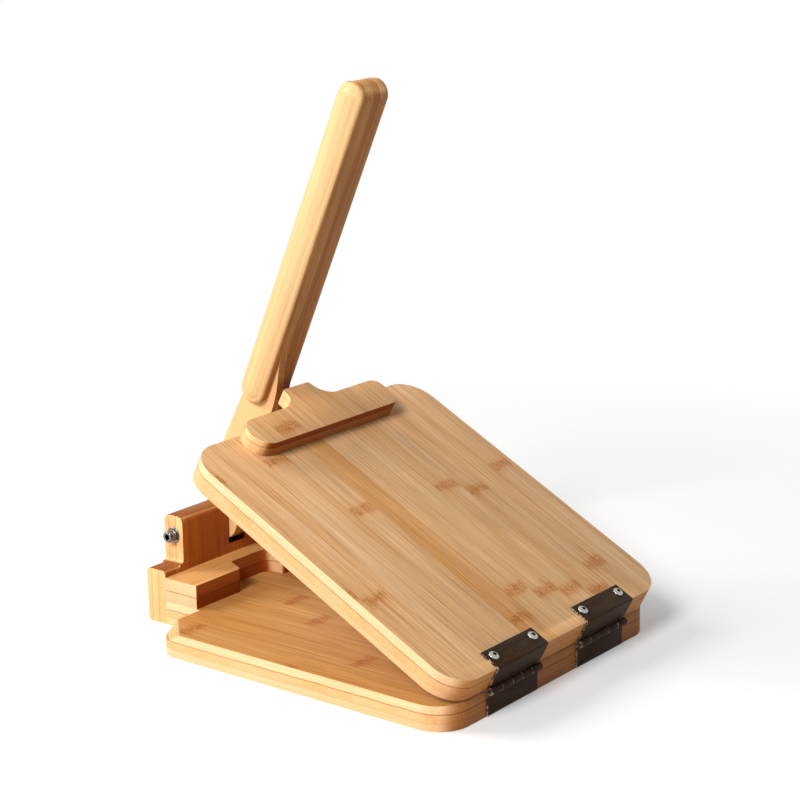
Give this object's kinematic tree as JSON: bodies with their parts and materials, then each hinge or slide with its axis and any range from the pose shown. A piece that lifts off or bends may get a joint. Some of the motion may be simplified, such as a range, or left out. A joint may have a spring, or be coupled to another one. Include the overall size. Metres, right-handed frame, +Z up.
{
  "type": "tortilla press",
  "caption": "Wooden tortilla press: two hinged rectangular bamboo boards and a long lever pivoted in a yoke at the back, which pushes on a block on the upper board.",
  "frame": {"origin": "centre of the base board's underside, without its tail", "axes": "+X right along the hinges, +Y from the hinges to the lever, +Z up"},
  "size_m": [0.25, 0.3266, 0.3993],
  "materials": {
    "bamboo_board": "oiled bamboo, satin",
    "bamboo_yoke": "oiled bamboo, satin",
    "bamboo_block": "oiled bamboo, satin",
    "bamboo_lever": "oiled bamboo, satin",
    "bamboo_grip": "oiled bamboo, satin",
    "dowel_wood": "plain",
    "hinge_paint": "dark bronze paint, satin",
    "pin_steel": "plain steel",
    "bright_steel": "bright steel"
  },
  "bodies": {
    "base": {"base_board": "bamboo_board", "yoke_plate": "bamboo_yoke", "stop_block": "bamboo_yoke", "left_lower_leaf": "hinge_paint", "right_lower_leaf": "hinge_paint", "left_hinge_pin": "pin_steel", "right_hinge_pin": "pin_steel", "lower_leaf_screws": "bright_steel", "yoke_screws": "bright_steel", "stop_block_screws": "bright_steel", "pivot_bolt": "bright_steel", "flat_washers": "bright_steel", "lock_washer": "pin_steel", "pivot_nut": "bright_steel", "spacer_washers": "bright_steel"},
    "lid": {"top_board": "bamboo_board", "pressure_block": "bamboo_block", "block_dowels": "dowel_wood", "left_upper_leaf": "hinge_paint", "right_upper_leaf": "hinge_paint", "upper_leaf_screws": "bright_steel"},
    "lever": {"lever_arm": "bamboo_lever", "left_grip_scale": "bamboo_grip", "right_grip_scale": "bamboo_grip"}
  },
  "joints": [
    {"name": "lid_hinge", "type": "hinge", "parent": "base", "child": "lid", "pos_m": [0, -0.1321, 0.0182], "axis": [1, 0, 0], "range_deg": [-27.4, 132.6]},
    {"name": "lever_pivot", "type": "hinge", "parent": "base", "child": "lever", "pos_m": [0, 0.171, 0.062], "axis": [1, 0, 0], "range_deg": [-113.9, 2]}
  ]
}
